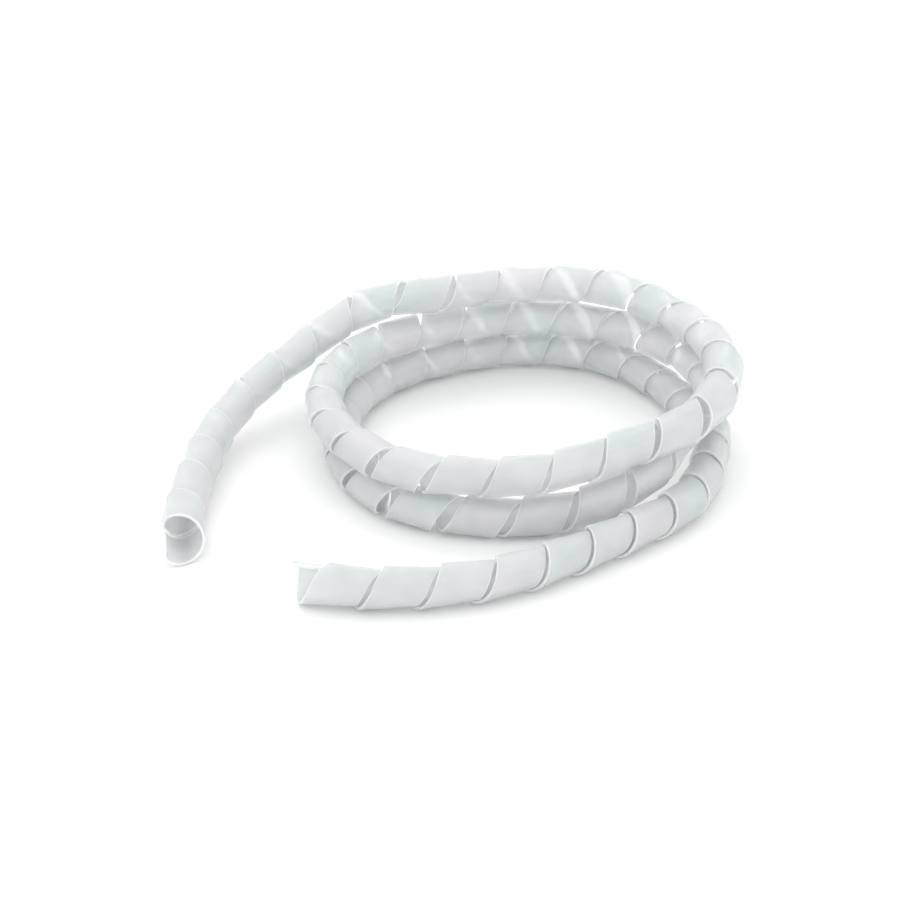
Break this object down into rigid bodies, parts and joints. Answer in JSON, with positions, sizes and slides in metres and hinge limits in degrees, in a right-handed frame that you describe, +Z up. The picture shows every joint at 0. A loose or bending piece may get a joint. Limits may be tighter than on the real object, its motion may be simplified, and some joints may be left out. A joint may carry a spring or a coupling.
{
  "type": "spiral cable wrap",
  "caption": "Coiled length of pale translucent plastic spiral wrap for bundling cables, lying loose with both cut ends free.",
  "frame": {"origin": "on the floor that the coil lies on, under the middle of the object's bounding box", "axes": "+Z up; the mouth of the left arm faces -Y, towards the picture's viewer, and the mouth of the front arm faces -X"},
  "size_m": [0.2818, 0.2884, 0.0639],
  "materials": {
    "natural_polyethylene": "satin, natural translucent polyethylene"
  },
  "bodies": {
    "root": {"spiral_wrap_strip": "natural_polyethylene"}
  },
  "joints": []
}
